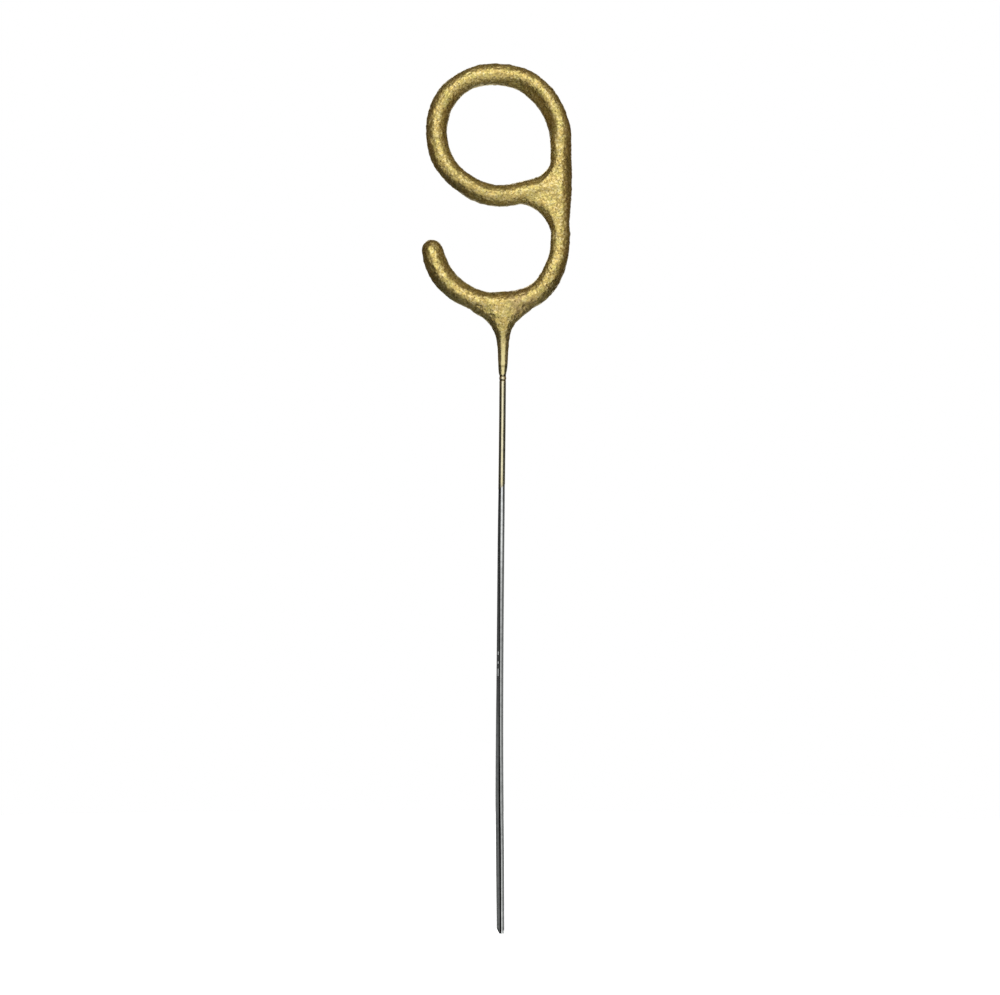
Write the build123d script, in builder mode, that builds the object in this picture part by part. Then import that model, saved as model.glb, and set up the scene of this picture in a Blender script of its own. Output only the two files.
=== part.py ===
"""A hand sparkler whose burning end is bent into the numeral nine.

Two steel wires, a straight handle and a bent former, are spot welded together. The welded form is
dipped in burning composition, which clings to it as a round bead with webs in its corners, and the
bead and the top of the handle are then dipped in gold lacquer.

Sizes are in millimetres and degrees. The origin is at the cut tip of the handle, +Z runs up the
handle, and the numeral reads the right way round when it is seen along +Y.
"""

import os
from math import cos, radians, sqrt, tan

from build123d import *

# Handle wire
WIRE_DIAMETER = 1.3
GRIP_LENGTH = 91.8  # bare, straight wire from the cut tip up to the lacquer's edge
BOW_LENGTH = 22.4  # lacquered wire from there up to the drip
BOW_ANGLE = 0.3  # how far that stretch bows towards +X
STEM_LENGTH = 14.6  # wire inside the drip, up to the middle of the numeral's wire

# Pinch cut at the tip of the handle
TIP_EDGE_OFFSET = 0.2  # the cut edge lies this far to the right of the wire's middle
LONG_BEVEL = 1.4  # height of the left-hand bevel
SHORT_BEVEL = 0.5  # height of the right-hand bevel

# Bends of the numeral's wire, measured along its centre line
STEM_OFFSET = 0.8  # the handle meets the tail this far to the right of the tail's lowest point
TAIL_RADIUS = 14.0
HOOK_ANGLE = 77.6  # turn of the tail from its lowest point back to its free end
TAIL_RISE = 28.1  # turn of the tail from its lowest point forward to the corner
CORNER_RADIUS = 11.2
UPRIGHT_LENGTH = 22.2
LOOP_TOP_RADIUS = 13.4
LOOP_TOP_ANGLE = 106.5
LOOP_SIDE_RADIUS = 11.7
LOOP_SIDE_ANGLE = 102.7
LOOP_FOOT_RADIUS = 14.5
BAR_RISE = 12.4  # slope of the straight bar that closes the loop

# Spot welds
WELD_DIAMETER = 2.2
WELD_GAP = 0.25  # molten metal between the end of one wire and the side of the other

# Burning composition
BEAD_DIAMETER = 4.18
BAR_THINNING = 0.2  # the bead's radius shrinks by this much along the closing bar
BAR_WEB_RADIUS = 4.4  # webs in the corners between the bar and the upright
PLAIN_BAR = 0.8  # straight bead left between the loop's foot and the webs
STEM_WEB_RADIUS = 5.6  # web around the stem, under the tail
DRIP_LIP = 0.08  # thickness of the drip at its lower end
DRIP_SHOULDER = 0.4  # the drip's root is slimmer than the bead by this much in radius

# Gold lacquer
LACQUER_THICKNESS = 0.06

wire_radius = WIRE_DIAMETER / 2
bead_radius = BEAD_DIAMETER / 2

# The handle runs straight up, bows a little, and ends under the numeral's tail.
with BuildLine(Plane.XZ) as handle_line:
    grip = Line((0, 0), (0, GRIP_LENGTH))
    bow = JernArc(grip @ 1, grip % 1, BOW_LENGTH / radians(BOW_ANGLE), -BOW_ANGLE)
    stem = Line(bow @ 1, bow @ 1 + (bow % 1) * STEM_LENGTH)

stem_foot = bow @ 1
stem_top = stem @ 1
stem_up = stem % 1

# The numeral's wire starts at the free end of the tail and runs anticlockwise round to the loop's foot.
tail_center = (stem_top.X - STEM_OFFSET, stem_top.Z + sqrt(TAIL_RADIUS**2 - STEM_OFFSET**2))
corner_angle = 90 - TAIL_RISE
loop_foot_angle = 270 + BAR_RISE - LOOP_TOP_ANGLE - LOOP_SIDE_ANGLE

with BuildLine(Plane.XZ) as numeral_line:
    tail = CenterArc(tail_center, TAIL_RADIUS, 270 - HOOK_ANGLE, HOOK_ANGLE + TAIL_RISE)
    corner = JernArc(tail @ 1, tail % 1, CORNER_RADIUS, corner_angle)
    upright = Line(corner @ 1, corner @ 1 + (corner % 1) * UPRIGHT_LENGTH)
    loop_top = JernArc(upright @ 1, upright % 1, LOOP_TOP_RADIUS, LOOP_TOP_ANGLE)
    loop_side = JernArc(loop_top @ 1, loop_top % 1, LOOP_SIDE_RADIUS, LOOP_SIDE_ANGLE)
    loop_foot = JernArc(loop_side @ 1, loop_side % 1, LOOP_FOOT_RADIUS, loop_foot_angle)

tail_end = tail @ 0
bar_start = loop_foot @ 1
bar_along = loop_foot % 1
upright_x = (upright @ 0).X

# The closing bar climbs from the loop's foot to the middle of the upright.
bar_length = (upright_x - bar_start.X) / cos(radians(BAR_RISE))
bar_seat = bar_length - wire_radius / cos(radians(BAR_RISE))
stem_seat = STEM_LENGTH - wire_radius

# The wires stop short of the sides that they are welded to.
with BuildLine(Plane.XZ) as handle_path:
    Line(grip @ 0, grip @ 1)
    add(bow)
    Line(stem_foot, stem_foot + stem_up * (stem_seat - WELD_GAP))

with BuildLine(Plane.XZ) as former_path:
    add(numeral_line.line)
    Line(bar_start, bar_start + bar_along * (bar_seat - WELD_GAP))


# Straight handle wire, with the pinch cut that parted it from the coil
long_slope = LONG_BEVEL / (wire_radius + TIP_EDGE_OFFSET)
short_slope = SHORT_BEVEL / (wire_radius - TIP_EDGE_OFFSET)

with BuildPart() as handle_wire:
    with BuildSketch(Plane.XY):
        Circle(wire_radius)
    sweep(path=handle_path.line)
    with BuildSketch(Plane.XZ):
        with BuildLine():
            Polyline(
                (TIP_EDGE_OFFSET - WIRE_DIAMETER, -WIRE_DIAMETER),
                (TIP_EDGE_OFFSET - WIRE_DIAMETER, long_slope * WIRE_DIAMETER),
                (TIP_EDGE_OFFSET, 0),
                (TIP_EDGE_OFFSET + WIRE_DIAMETER, short_slope * WIRE_DIAMETER),
                (TIP_EDGE_OFFSET + WIRE_DIAMETER, -WIRE_DIAMETER),
                close=True,
            )
        make_face()
    extrude(amount=WIRE_DIAMETER, both=True, mode=Mode.SUBTRACT)
handle_wire.part.label = "handle_wire"

# Bent wire former of the numeral
with BuildPart() as numeral_wire:
    with BuildSketch(Plane(origin=tail_end, z_dir=tail % 0)):
        Circle(wire_radius)
    sweep(path=former_path.line)
numeral_wire.part.label = "numeral_wire"

# Weld nuggets: balls of metal squeezed out round the seats of the stem and of the bar
with BuildPart() as handle_weld:
    with Locations(stem_foot + stem_up * stem_seat):
        Sphere(WELD_DIAMETER / 2)
    add(numeral_wire.part, mode=Mode.SUBTRACT)
    add(handle_wire.part, mode=Mode.SUBTRACT)
handle_weld.part.label = "handle_weld"

with BuildPart() as loop_weld:
    with Locations(bar_start + bar_along * bar_seat):
        Sphere(WELD_DIAMETER / 2)
    add(numeral_wire.part, mode=Mode.SUBTRACT)
loop_weld.part.label = "loop_weld"


def dipped_bead(grow):
    """The outside of the dipped bead, its webs and its drip, thicker all over by grow."""
    radius = bead_radius + grow
    bar_end_radius = radius - BAR_THINNING
    bare_bar = bar_length - bead_radius / cos(radians(BAR_RISE))
    widest_web = (bare_bar - PLAIN_BAR) * tan(radians(45 - BAR_RISE / 2))
    bar_web = min(BAR_WEB_RADIUS, widest_web) - grow

    with BuildPart() as bead:
        with BuildSketch(Plane(origin=tail_end, z_dir=tail % 0)):
            Circle(radius)
        sweep(path=numeral_line.line)
        with Locations(tail_end):
            Sphere(radius)

        # the bead thins along the closing bar, and webs fill the corners where the bar meets the upright
        with Locations(Plane(origin=bar_start, z_dir=bar_along)):
            Cone(radius, bar_end_radius, bar_length, align=(Align.CENTER, Align.CENTER, Align.MIN))
        fillet(bead.edges(Select.NEW).filter_by(GeomType.BSPLINE), bar_web)

        # the drip runs down the stem to a thin lip, and a web joins it to the tail
        with Locations(Plane(origin=stem_foot - stem_up * grow, z_dir=stem_up)):
            Cone(
                wire_radius + DRIP_LIP + grow,
                radius - DRIP_SHOULDER,
                STEM_LENGTH + grow,
                align=(Align.CENTER, Align.CENTER, Align.MIN),
            )
        fillet(bead.edges(Select.NEW).filter_by(GeomType.BSPLINE), STEM_WEB_RADIUS - grow)
    return bead.part


# Burning composition, moulded round the wires and welds
bare_bead = dipped_bead(0)

with BuildPart() as composition:
    add(bare_bead)
    for core in (numeral_wire, handle_wire, handle_weld, loop_weld):
        add(core.part, mode=Mode.SUBTRACT)
composition.part.label = "composition"

# Gold lacquer: a film over the whole bead and down the bowed wire to the dip line
with BuildPart() as gold_lacquer:
    add(dipped_bead(LACQUER_THICKNESS))
    with BuildSketch(Plane(origin=grip @ 1, z_dir=grip % 1)):
        Circle(wire_radius + LACQUER_THICKNESS)
    sweep(path=bow)
    add(bare_bead, mode=Mode.SUBTRACT)
    add(handle_wire.part, mode=Mode.SUBTRACT)
gold_lacquer.part.label = "gold_lacquer"

os.makedirs("parts", exist_ok=True)
export_step(handle_wire.part, "parts/handle_wire.step")
export_step(numeral_wire.part, "parts/numeral_wire.step")
export_step(handle_weld.part, "parts/handle_weld.step")
export_step(loop_weld.part, "parts/loop_weld.step")
export_step(composition.part, "parts/composition.step")
export_step(gold_lacquer.part, "parts/gold_lacquer.step")
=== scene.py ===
# %% [markdown]
# # A numeral sparkler, dressed in Blender
#
# The object is a steel wire with a second wire welded to it and bent into a nine. The bent wire was
# dipped in a grey burning paste, and then in gold lacquer. The frame already holds the exact solids.
# This lesson gives them their looks: the lumpy dipped bead, the grain of the gold, the drawn steel.
#
# The first cell loads the frame.

# %% Load the frame
from math import atan2, cos, exp, pi, radians, sin

import bpy
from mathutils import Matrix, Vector


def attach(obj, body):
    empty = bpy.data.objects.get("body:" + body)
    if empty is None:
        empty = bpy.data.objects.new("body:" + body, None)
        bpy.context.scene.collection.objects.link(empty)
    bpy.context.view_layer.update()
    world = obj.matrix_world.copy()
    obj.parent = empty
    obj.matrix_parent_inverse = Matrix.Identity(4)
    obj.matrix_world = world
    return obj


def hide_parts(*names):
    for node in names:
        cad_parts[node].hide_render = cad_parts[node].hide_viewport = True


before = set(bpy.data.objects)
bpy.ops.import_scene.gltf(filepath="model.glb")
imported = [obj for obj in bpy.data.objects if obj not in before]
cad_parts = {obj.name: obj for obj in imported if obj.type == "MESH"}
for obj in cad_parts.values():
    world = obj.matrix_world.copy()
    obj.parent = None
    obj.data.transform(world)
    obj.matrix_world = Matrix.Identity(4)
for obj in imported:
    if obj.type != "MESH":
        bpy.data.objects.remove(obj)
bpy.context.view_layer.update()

print("CAD nodes:", sorted(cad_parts))

# %% [markdown]
# ## Helpers
#
# Blender's operators act on whatever is selected, and a freshly loaded model is selected all over. So
# every piece starts by clearing the selection, and one helper opens a piece in edit mode. Sizes are
# written in millimetres, as on a drawing, and `MM` turns them into Blender's metres.

# %% Helpers for selecting and editing
MM = 0.001


def clear_selection():
    if bpy.context.mode != "OBJECT":
        bpy.ops.object.mode_set(mode="OBJECT")
    bpy.ops.object.select_all(action="DESELECT")


def make_active(piece):
    clear_selection()
    piece.select_set(True)
    bpy.context.view_layer.objects.active = piece


def new_piece(name):
    """Name the primitive that was just added."""
    piece = bpy.context.active_object
    piece.name = name
    piece.data.name = name
    return piece


def in_plane(x, z):
    """A point in the plane of the numeral, from millimetres to metres."""
    return Vector((x * MM, 0, z * MM))


def join_pieces(pieces, name):
    clear_selection()
    for piece in pieces:
        piece.select_set(True)
    bpy.context.view_layer.objects.active = pieces[0]
    bpy.ops.object.join()
    return new_piece(name)


def apply_place(piece):
    make_active(piece)
    bpy.ops.object.transform_apply(location=True, rotation=True, scale=True)


def count(piece):
    mesh = piece.data
    mesh.calc_loop_triangles()
    return f"{piece.name}: {len(mesh.vertices)} points, {len(mesh.loop_triangles)} triangles"


print("helpers ready, 1 mm =", MM, "m")

# %% [markdown]
# ## The bends of the numeral
#
# A wire bender works from a list of bends: how far to turn, and round what radius. The nine is five
# bends and two straight stretches, all turning the same way, from the free end of the tail up to the
# foot of the loop. The same values shape the solids in the frame.

# %% Values of the bends, in millimetres and degrees
TAIL_CENTER = in_plane(-0.665, 142.777)
TAIL_RADIUS = 14.0
HOOK_ANGLE = 77.6
TAIL_RISE = 28.1
CORNER_RADIUS = 11.2
UPRIGHT_LENGTH = 22.2
LOOP_TOP = (13.4, 106.5)
LOOP_SIDE = (11.7, 102.7)
LOOP_FOOT_RADIUS = 14.5
BAR_RISE = 12.4
BAR_LENGTH = 7.6

print("turn of the whole numeral in degrees:", HOOK_ANGLE + 90 + 270 + BAR_RISE)

# %% [markdown]
# ## How a dipped bead swells
#
# Paste never lies evenly on a dipped wire. A list of soft swellings says where the bead is thicker and
# how far it leans off the wire, and a second list does the same for the runs that the second dip left on
# its front and back. Each row fades out in a bell curve, so neighbours blend. Noise would be faster, but
# a list can be matched to the real bead place by place.

# %% Where the bead swells and leans
BEAD_RADIUS = 2.22

# Millimetres along the bead from its free end, how far the change reaches, what it adds to the radius,
# and how far it leans to the outside of the bend
SWELLINGS = [
    (-0.5, 1.5, -0.12, 0.00),
    (5.0, 5.0, 0.20, 0.20),
    (8.5, 4.0, 0.06, 0.08),
    (15.8, 3.0, 0.04, 0.12),
    (20.0, 3.2, 0.12, -0.18),
    (26.0, 3.0, 0.04, 0.12),
    (30.5, 3.0, 0.08, 0.00),
    (34.0, 4.0, 0.00, -0.34),
    (37.0, 3.0, -0.10, -0.03),
    (42.5, 4.5, -0.20, -0.07),
    (52.0, 5.0, 0.03, 0.09),
    (67.0, 7.0, 0.19, -0.33),
    (75.0, 4.5, 0.15, -0.03),
    (81.0, 4.0, 0.02, -0.20),
    (88.0, 3.5, -0.08, 0.02),
    (93.5, 5.0, 0.07, 0.05),
    (100.0, 3.5, 0.03, -0.14),
    (107.5, 4.5, 0.00, 0.26),
    (117.5, 5.0, 0.05, 0.30),
    (126.0, 4.0, 0.11, -0.16),
]


def nearness(along, at, reach):
    """1 at the middle of a swelling, falling softly to 0 past its reach."""
    return exp(-(((along - at) / reach) ** 2))


def blended(rows, column, along):
    """One column of a list, each row counting for as much as it is near."""
    return sum(row[column] * nearness(along, row[0], row[1]) for row in rows)


def bead_radius(along):
    """Radius of the dipped bead, in millimetres, at a distance along it."""
    return BEAD_RADIUS + blended(SWELLINGS, 2, along)


def bead_lean(along):
    """How far the bead's middle lies outside the wire, in millimetres."""
    return blended(SWELLINGS, 3, along)


print("bead radius every 10 mm:", [round(bead_radius(10 * i), 2) for i in range(13)])

# %% How the runs lean
# Millimetres along the bead, how far that reaches, how far the front run leans to the outside of the
# bend, and the share by which it is flattened, or narrowed where that is below 0
RUNS = [
    (8.0, 8.0, 0.04, -0.16),
    (32.5, 4.5, -0.28, 0.30),
    (42.0, 5.0, -0.12, 0.28),
    (55.0, 6.0, -0.32, 0.12),
    (66.0, 4.5, 0.45, 0.00),
    (74.0, 4.5, 0.62, 0.00),
    (84.0, 4.5, 0.15, 0.18),
    (96.0, 7.0, 0.18, 0.10),
    (113.0, 7.0, -0.20, 0.00),
]


def run_lean(along):
    """How far the front run leans to the outside of the bend, in millimetres."""
    return blended(RUNS, 2, along)


def run_flattening(along):
    """The share by which a run is flattened, or narrowed where it is below 0."""
    return blended(RUNS, 3, along)


print("lean of the front run every 10 mm:", [round(run_lean(10 * i), 2) for i in range(13)])

# %% [markdown]
# ## Drawing the bead
#
# The bead is drawn as a hand would draw it: one circle, stood across the wire at its free end, is carried
# along the bends. `spin` carries it round a bend and `extrude` along a straight. After each step only the
# newest ring is selected, so it can be swollen or nudged to give the uneven thickness of a dipped coat.
# A curve with a bevel would be quicker, but it would leave the bead as even as a hose.

# %% A pen that carries a ring along the bends
RING_POINTS = 28
STEP = 0.8


def close_tube(piece):
    """Cap both ends of the tube that is open in edit mode, and turn its faces outwards."""
    bpy.ops.mesh.select_all(action="SELECT")
    bpy.ops.mesh.fill_holes(sides=0)
    bpy.ops.mesh.normals_make_consistent(inside=False)
    bpy.ops.object.mode_set(mode="OBJECT")
    return piece


class RingPen:
    """Carries the open end of a tube along bends and straights, and shapes it on the way.

    shape_at(along) gives the ring's radius, its lean to the outside of the bend, how far it stands
    forward of the numeral's plane, and its depth as a share of its width.
    """

    def __init__(self, name, start, heading, shape_at):
        self.at = start.copy()
        self.heading = radians(heading)
        self.along = 0.0
        self.shape_at = shape_at
        self.shape = shape_at(0)
        radius, _, _, flat = self.shape
        clear_selection()
        tangent = self.forward()
        bpy.ops.mesh.primitive_circle_add(
            vertices=RING_POINTS,
            radius=radius * MM,
            fill_type="NOTHING",
            location=self.middle(),
            rotation=(0, atan2(tangent.x, tangent.z), 0),
        )
        self.piece = new_piece(name)
        apply_place(self.piece)
        bpy.ops.object.mode_set(mode="EDIT")
        bpy.ops.mesh.select_all(action="SELECT")
        bpy.ops.transform.resize(value=(1, flat, 1), center_override=self.middle())

    def forward(self):
        return Vector((cos(self.heading), 0, sin(self.heading)))

    def outward(self):
        return Vector((sin(self.heading), 0, -cos(self.heading)))

    def middle(self):
        """The middle of the newest ring."""
        return self.at + self.outward() * self.shape[1] * MM + Vector((0, -self.shape[2] * MM, 0))

    def settle(self):
        """Give the newest ring the shape that the tube has here."""
        radius, _, _, flat = self.shape
        old_middle = self.middle()
        self.shape = self.shape_at(self.along)
        new_radius, _, _, new_flat = self.shape
        grow = new_radius / radius
        size = (grow, grow * new_flat / flat, grow)
        bpy.ops.transform.resize(value=size, center_override=old_middle)
        bpy.ops.transform.translate(value=self.middle() - old_middle)

    def bend(self, radius, turn):
        """Turn left by an angle in degrees round a bend of a radius in millimetres."""
        center = self.at - self.outward() * radius * MM
        steps = max(1, round(radius * radians(turn) / STEP))
        for _ in range(steps):
            slice_angle = radians(turn) / steps
            bpy.ops.mesh.spin(steps=1, angle=slice_angle, center=center, axis=(0, 1, 0))
            self.heading += slice_angle
            self.at = center + self.outward() * radius * MM
            self.along += radius * slice_angle
            self.settle()

    def straight(self, length):
        steps = max(1, round(length / STEP))
        for _ in range(steps):
            move = self.forward() * length / steps * MM
            bpy.ops.mesh.extrude_region_move(TRANSFORM_OT_translate={"value": move})
            self.at += move
            self.along += length / steps
            self.settle()

    def lift(self):
        """Close both ends and hand over the finished tube."""
        return close_tube(self.piece)


print("pen ready, step in mm:", STEP)

# %% [markdown]
# ## The bead of the numeral
#
# With the pen ready, the figure is a short list of strokes. The bead is drawn a little flat, because the
# runs drawn next fill its front and its back.

# %% The bead of the numeral
BEAD_FLATNESS = 0.88
BEAD_YIELD = 0.9

tail_start = radians(270 - HOOK_ANGLE)
hook_end = TAIL_CENTER + Vector((cos(tail_start), 0, sin(tail_start))) * TAIL_RADIUS * MM


def draw_numeral(pen):
    """Draw all the bends of the numeral with a pen that stands at its free end."""
    pen.bend(TAIL_RADIUS, HOOK_ANGLE + TAIL_RISE)
    pen.bend(CORNER_RADIUS, 90 - TAIL_RISE)
    pen.straight(UPRIGHT_LENGTH)
    pen.bend(*LOOP_TOP)
    pen.bend(*LOOP_SIDE)
    pen.bend(LOOP_FOOT_RADIUS, 270 + BAR_RISE - LOOP_TOP[1] - LOOP_SIDE[1])
    pen.straight(BAR_LENGTH)
    return pen.lift()


def bead_shape(along):
    """The bead gives way where the runs lean, so that its section tilts instead of growing round."""
    slimmer = BEAD_YIELD * abs(run_lean(along))
    return (bead_radius(along) - slimmer, bead_lean(along), 0, BEAD_FLATNESS)


pen = RingPen("numeral_bead", hook_end, 360 - HOOK_ANGLE, bead_shape)
numeral_bead = draw_numeral(pen)
print(count(numeral_bead))
print("length along the bead in mm:", round(pen.along, 1))

# %% [markdown]
# ## A second run of paste
#
# The runs are the same strokes, a little thinner than the bead, and reach as far forward or back as the
# bead is wide. The front run leans one way and the back run the other, which tilts the section of the
# bead. One tilted section would be simpler, but two runs leave the soft double edge of a second dip.

# %% The second runs along the front and the back
RUN_SLIMMER = 0.05


def run_shape(along, side):
    """Shape of the run on the front (side 1) or on the back (side -1) of the bead."""
    lean = run_lean(along)
    flatness = 1 - max(0, run_flattening(along))
    narrowed = 1 + min(0, run_flattening(along))
    radius = bead_radius(along) * narrowed - RUN_SLIMMER - abs(lean)
    ahead = bead_radius(along) - radius * flatness
    return (radius, bead_lean(along) + side * lean, side * ahead, flatness)


front_pen = RingPen("front_run", hook_end, 360 - HOOK_ANGLE, lambda along: run_shape(along, 1))
front_run = draw_numeral(front_pen)
back_pen = RingPen("back_run", hook_end, 360 - HOOK_ANGLE, lambda along: run_shape(along, -1))
back_run = draw_numeral(back_pen)
print(count(front_run), count(back_run), sep="\n")

# %% [markdown]
# ## Webs in the corners
#
# Wet paste creeps into a corner and rounds it off. Each web is one more run of bead, laid round the
# inside of the corner by the same pen, thin at its ends and thicker in the middle. A Boolean fillet
# would be exact, but too even for paste that crept in by itself.

# %% Webs where the loop closes
WEB_RADIUS = 2.0
LOWER_WEB = (in_plane(2.61, 141.78), 9.43, 5, 80, 1.92)
UPPER_WEB = (in_plane(6.10, 158.52), 5.56, -86, 86, 1.60)


def lay_web(name, center, radius, start_angle, turn, end_radius):
    """A run of bead round a corner, from a start angle in degrees and through a turn."""
    length = radius * radians(turn)

    def web_shape(along):
        swell = sin(pi * min(1, along / length))
        return (end_radius + (WEB_RADIUS - end_radius) * swell, 0, 0, 1)

    spoke = Vector((cos(radians(start_angle)), 0, sin(radians(start_angle))))
    start = center + spoke * radius * MM
    web_pen = RingPen(name, start, start_angle + 90, web_shape)
    web_pen.bend(radius, turn)
    return web_pen.lift()


lower_web = lay_web("lower_web", *LOWER_WEB)
upper_web = lay_web("upper_web", *UPPER_WEB)
print(count(lower_web), count(upper_web), sep="\n")

# %% [markdown]
# ## The flat plate of the web
#
# Between those runs the real web is flat across its front, almost to its edge. A plate with hollow sides
# fills it: a disc whose rim is pulled to the outline, extruded from front to back and bevelled. A
# sculpted lump would do too, but its outline is harder to hold.

# %% The flat plate of the web
PLATE_DEPTH = 2.06
PLATE_TIP = in_plane(4.5, 151.6)
PLATE_TOP = in_plane(11.0, 160.0)
PLATE_FOOT = in_plane(10.9, 142.5)
UPPER_HOLLOW = in_plane(10.4, 154.9)
LOWER_HOLLOW = in_plane(9.9, 148.9)
PLATE_ROUNDING = 0.55
SIDE_POINTS = 10


def hollow_side(start, pull, end):
    """Points along a curved side that leaves start, is pulled towards a point, and reaches end."""
    steps = [i / SIDE_POINTS for i in range(SIDE_POINTS)]
    return [start * (1 - t) ** 2 + pull * 2 * t * (1 - t) + end * t**2 for t in steps]


def select_faces(piece, wanted):
    """Open a piece in edit mode with those faces selected whose normal is wanted."""
    make_active(piece)
    bpy.ops.object.mode_set(mode="EDIT")
    bpy.ops.mesh.select_mode(type="FACE")
    bpy.ops.mesh.select_all(action="DESELECT")
    bpy.ops.object.mode_set(mode="OBJECT")
    for face in piece.data.polygons:
        face.select = wanted(face.normal)
    bpy.ops.object.mode_set(mode="EDIT")


rim = hollow_side(PLATE_TIP, LOWER_HOLLOW, PLATE_FOOT)
rim += hollow_side(PLATE_FOOT, (PLATE_FOOT + PLATE_TOP) / 2, PLATE_TOP)
rim += hollow_side(PLATE_TOP, UPPER_HOLLOW, PLATE_TIP)
clear_selection()
bpy.ops.mesh.primitive_circle_add(vertices=len(rim), radius=MM, fill_type="NGON")
web_plate = new_piece("web_plate")
for point, place in zip(web_plate.data.vertices, rim):
    point.co = place + Vector((0, -PLATE_DEPTH * MM, 0))
bpy.ops.object.mode_set(mode="EDIT")
bpy.ops.mesh.select_all(action="SELECT")
bpy.ops.mesh.extrude_region_move(TRANSFORM_OT_translate={"value": (0, 2 * PLATE_DEPTH * MM, 0)})
bpy.ops.mesh.select_all(action="SELECT")
bpy.ops.mesh.normals_make_consistent(inside=False)
select_faces(web_plate, lambda normal: abs(normal.y) > 0.9)
bpy.ops.mesh.select_mode(type="EDGE")
bpy.ops.mesh.bevel(offset=PLATE_ROUNDING * MM, segments=3, affect="EDGES")
bpy.ops.object.mode_set(mode="OBJECT")
print(count(web_plate))

# %% [markdown]
# ## Tubes that stand upright
#
# The drip, the lacquered stretch of wire and the steel handle are all tubes that stand on end. One helper
# extrudes a circle from station to station and scales each new ring.

# %% A helper for upright tubes
def raise_tube(name, stations, points=RING_POINTS):
    """A tube through stations of height, middle, half width and half depth, in millimetres."""
    height, middle, width, depth = stations[0]
    clear_selection()
    bpy.ops.mesh.primitive_circle_add(
        vertices=points, radius=width * MM, fill_type="NOTHING", location=in_plane(middle, height)
    )
    piece = new_piece(name)
    apply_place(piece)
    bpy.ops.object.mode_set(mode="EDIT")
    bpy.ops.mesh.select_all(action="SELECT")
    bpy.ops.transform.resize(value=(1, depth / width, 1), center_override=in_plane(middle, height))
    for next_height, next_middle, next_width, next_depth in stations[1:]:
        move = in_plane(next_middle - middle, next_height - height)
        bpy.ops.mesh.extrude_region_move(TRANSFORM_OT_translate={"value": move})
        grow = (next_width / width, next_depth / depth, 1)
        bpy.ops.transform.resize(value=grow, center_override=in_plane(next_middle, next_height))
        height, middle, width, depth = next_height, next_middle, next_width, next_depth
    return piece


print("tube helper ready")

# %% [markdown]
# ## The drip
#
# Wet paste ran down the stem, so the drip opens upwards like a trumpet. A list of heights gives its reach
# to each side, because the sides differ. A spun profile would be quicker, but make both sides alike.

# %% The drip under the tail
STEM_FOOT = (0.06, 114.2)
STEM_LEAN = radians(0.3)

# Height, reach to the left of the stem, reach to the right, and half depth
DRIP_OUTLINE = [
    (113.8, 0.62, 0.72, 0.66),
    (114.6, 0.80, 0.92, 0.82),
    (116.0, 0.92, 1.14, 1.00),
    (118.5, 1.00, 1.22, 1.11),
    (120.5, 1.16, 1.36, 1.27),
    (122.0, 1.38, 1.53, 1.47),
    (123.0, 1.75, 1.76, 1.64),
    (124.0, 2.30, 2.12, 1.80),
    (125.0, 3.10, 2.82, 1.95),
    (126.0, 4.18, 3.92, 2.08),
    (127.0, 6.02, 5.14, 2.18),
    (127.7, 6.92, 6.05, 2.24),
    (128.3, 7.25, 6.80, 2.26),
    (128.9, 6.70, 6.60, 2.22),
    (129.6, 4.60, 4.20, 2.10),
    (130.2, 2.80, 2.40, 1.80),
    (130.9, 1.20, 1.20, 0.90),
]


def stem_middle(height):
    return STEM_FOOT[0] + (height - STEM_FOOT[1]) * STEM_LEAN


drip_stations = [
    (height, stem_middle(height) + (right - left) / 2, (left + right) / 2, depth)
    for height, left, right, depth in DRIP_OUTLINE
]
drip = close_tube(raise_tube("drip", drip_stations))
print(count(drip))

# %% [markdown]
# ## One mass
#
# The paste on the real sparkler is one mass, so the runs are joined and a voxel remesh melts them
# together. It throws away every inside wall and leaves an even skin of small squares, which is also
# what fine displacement needs. A round of smoothing then softens the creases between the runs.

# %% The free end, the join and the remesh
HOOK_BALL_RADIUS = 2.2
HOOK_BALL_SHIFT = in_plane(-0.12, -0.12)
BALL_SEGMENTS = 24
VOXEL = 0.175
MELT_ROUNDS = 34

clear_selection()
bpy.ops.mesh.primitive_uv_sphere_add(
    segments=BALL_SEGMENTS,
    ring_count=BALL_SEGMENTS // 2,
    radius=HOOK_BALL_RADIUS * MM,
    location=hook_end + HOOK_BALL_SHIFT,
)
hook_ball = new_piece("hook_ball")
apply_place(hook_ball)


def add_modifier(piece, kind, **settings):
    """Add a modifier to a piece, set it up, and apply it to the mesh."""
    make_active(piece)
    bpy.ops.object.modifier_add(type=kind)
    modifier = piece.modifiers[-1]
    for setting, value in settings.items():
        setattr(modifier, setting, value)
    bpy.ops.object.modifier_apply(modifier=modifier.name)


runs = [numeral_bead, front_run, back_run, lower_web, upper_web, web_plate, drip, hook_ball]
gold_bead = join_pieces(runs, "gold_bead")
add_modifier(gold_bead, "REMESH", mode="VOXEL", voxel_size=VOXEL * MM, use_smooth_shade=True)
add_modifier(gold_bead, "SMOOTH", factor=0.5, iterations=MELT_ROUNDS)
print(count(gold_bead))

# %% [markdown]
# ## Lumps and grain
#
# Three sizes of unevenness sit on the real bead: slow swellings, lumps of about a millimetre, and the
# grain of iron filings under the lacquer. Displace modifiers with cloud textures push them into the mesh,
# so that they also show in the outline. The drip ran smooth, so a vertex group holds them back there.

# %% Displace the bead
# Size and height of each kind of lump, in millimetres
LUMPS = [
    ("slow_lumps", 3.2, 0.20),
    ("small_lumps", 1.0, 0.17),
    ("grain", 0.50, 0.09),
]
LUMP_DETAIL = 1
SMOOTH_BELOW = 117.0
LUMPY_ABOVE = 124.0
LEAST_LUMPY = 0.1

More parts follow.
